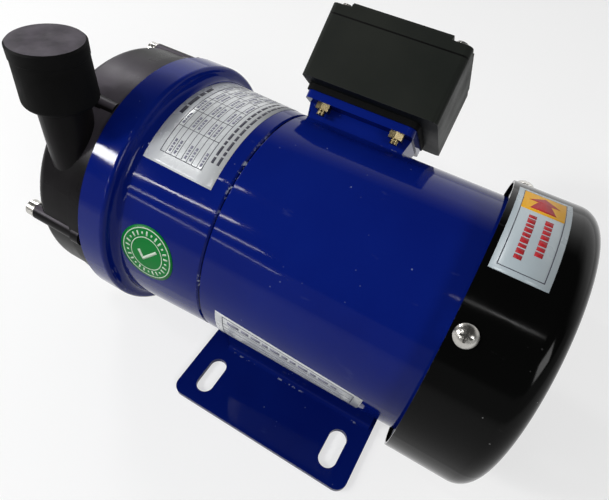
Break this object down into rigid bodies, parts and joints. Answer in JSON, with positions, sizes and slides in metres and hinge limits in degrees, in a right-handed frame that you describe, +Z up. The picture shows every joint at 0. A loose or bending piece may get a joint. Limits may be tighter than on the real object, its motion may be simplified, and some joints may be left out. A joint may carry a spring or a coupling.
{
  "type": "magnetic drive pump",
  "caption": "Sealless centrifugal pump: a plastic pump head with a capped upright outlet, magnet coupled to a foot mounted motor with a fan cover and a terminal box.",
  "frame": {"origin": "middle of the foot's slot pattern, on the underside of the foot", "axes": "+Y along the shaft from the pump head to the fan, +Z up, +X to the side the outlet is on"},
  "size_m": [0.1884, 0.274, 0.1704],
  "materials": {
    "blue_enamel": "gloss",
    "blue_casting": "gloss enamel",
    "black_enamel": "gloss",
    "black_pp": "satin",
    "box_plastic": "fine grain",
    "black_rubber": "matte",
    "steel": "satin",
    "zinc_screw": "bright",
    "yellow_zinc": "bright",
    "aluminium": "cast",
    "lamination": "satin",
    "copper": "lacquered",
    "magnet": "satin",
    "ceramic": "polished",
    "white_plastic": "satin",
    "carbon": "satin"
  },
  "bodies": {
    "pump_body": {"foot_plate": "blue_enamel", "foot_saddle": "blue_enamel", "motor_shell": "blue_enamel", "stator_core": "lamination", "stator_windings": "copper", "through_bolts": "steel", "adapter_bracket": "blue_casting", "rear_end_shield": "aluminium", "bearing_outer_rings": "steel", "fan_cover": "black_enamel", "cover_screws": "zinc_screw", "front_casing": "black_pp", "casing_bolts": "steel", "casing_short_bolt": "steel", "casing_washers": "steel", "rear_casing": "black_pp", "casing_o_ring": "black_rubber", "spindle": "ceramic", "thrust_rings": "ceramic", "mouth_ring": "ceramic", "terminal_pedestal": "blue_casting", "terminal_gasket": "black_rubber", "terminal_box": "box_plastic", "terminal_lid": "box_plastic", "lid_screws": "zinc_screw", "pedestal_screws": "yellow_zinc", "pedestal_nuts": "yellow_zinc", "terminal_block": "white_plastic", "cable_gland": "black_pp", "gland_locknut": "black_pp"},
    "drive_rotor": {"motor_shaft": "steel", "rotor_core": "lamination", "rotor_end_rings": "aluminium", "bearing_inner_rings": "steel", "drive_hub": "steel", "drive_magnets": "magnet", "hub_screw": "steel", "cooling_fan": "black_pp", "fan_clip": "steel"},
    "impeller_rotor": {"impeller": "black_pp", "impeller_shroud": "black_pp", "magnet_capsule": "black_pp", "inner_magnets": "magnet", "impeller_bush": "carbon"},
    "outlet_cap": {"outlet_cap": "black_rubber"}
  },
  "joints": [
    {"name": "rotor_spin", "type": "hinge", "parent": "pump_body", "child": "drive_rotor", "pos_m": [0, 0, 0.071], "axis": [0, 1, 0], "continuous": true},
    {"name": "impeller_spin", "type": "hinge", "parent": "pump_body", "child": "impeller_rotor", "pos_m": [0, 0, 0.071], "axis": [0, 1, 0], "continuous": true},
    {"name": "outlet_cap_pull", "type": "slide", "parent": "pump_body", "child": "outlet_cap", "axis": [-0.0872, 0, 0.9962], "range_m": [0, 0.08]}
  ],
  "couplings": [
    {"joint": "impeller_spin", "follows": "rotor_spin", "ratio": 1}
  ]
}
